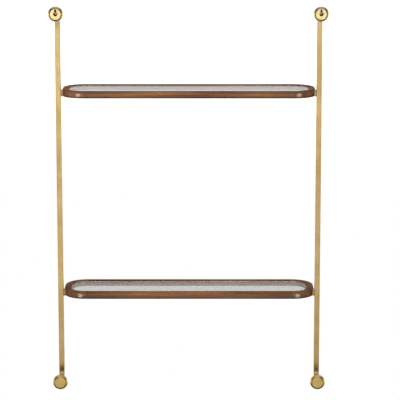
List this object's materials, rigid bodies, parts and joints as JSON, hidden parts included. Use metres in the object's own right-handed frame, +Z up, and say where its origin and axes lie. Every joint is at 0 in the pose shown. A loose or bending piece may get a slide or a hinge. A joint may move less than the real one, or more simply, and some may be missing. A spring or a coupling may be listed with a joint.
{
  "type": "wall shelf with brackets",
  "caption": "Tall wall shelf: glass panes in rounded wooden rims, carried between square brass rails that hang by keyholes and rest on round feet.",
  "frame": {"origin": "on the wall plane, midway between the two keyhole entries", "axes": "+Z up, +Y into the wall, front on -Y, +X to the right as seen from the front"},
  "size_m": [0.66, 0.1675, 0.931],
  "materials": {
    "brass": "satin brushed, clear lacquered",
    "disc_brass": "turned and polished",
    "walnut": "oiled walnut, grain along the piece",
    "end_walnut": "oiled walnut, grain across the ends",
    "dowel_beech": "plain turned beech",
    "glass": "clear float glass, ground edges",
    "bumper": "clear silicone",
    "steel": "plain zinc-plated"
  },
  "bodies": {
    "frame": {"rail_left": "brass", "rail_right": "brass", "upper_lug_left": "brass", "upper_lug_right": "brass", "lower_lug_left": "brass", "lower_lug_right": "brass", "hanger_disc_left": "disc_brass", "hanger_disc_right": "disc_brass", "foot_disc_left": "disc_brass", "foot_disc_right": "disc_brass", "upper_rim_front": "walnut", "upper_rim_back": "walnut", "upper_rim_end_left": "end_walnut", "upper_rim_end_right": "end_walnut", "upper_dowels": "dowel_beech", "upper_bumpers": "bumper", "upper_shelf_screws": "steel", "upper_washers": "steel", "lower_rim_front": "walnut", "lower_rim_back": "walnut", "lower_rim_end_left": "end_walnut", "lower_rim_end_right": "end_walnut", "lower_dowels": "dowel_beech", "lower_bumpers": "bumper", "lower_shelf_screws": "steel", "lower_washers": "steel"},
    "upper_pane": {"upper_glass": "glass"},
    "lower_pane": {"lower_glass": "glass"}
  },
  "joints": [
    {"name": "upper_glass_lift", "type": "slide", "parent": "frame", "child": "upper_pane", "axis": [0, 0, 1], "range_m": [0, 0.04]},
    {"name": "lower_glass_lift", "type": "slide", "parent": "frame", "child": "lower_pane", "axis": [0, 0, 1], "range_m": [0, 0.04]}
  ]
}
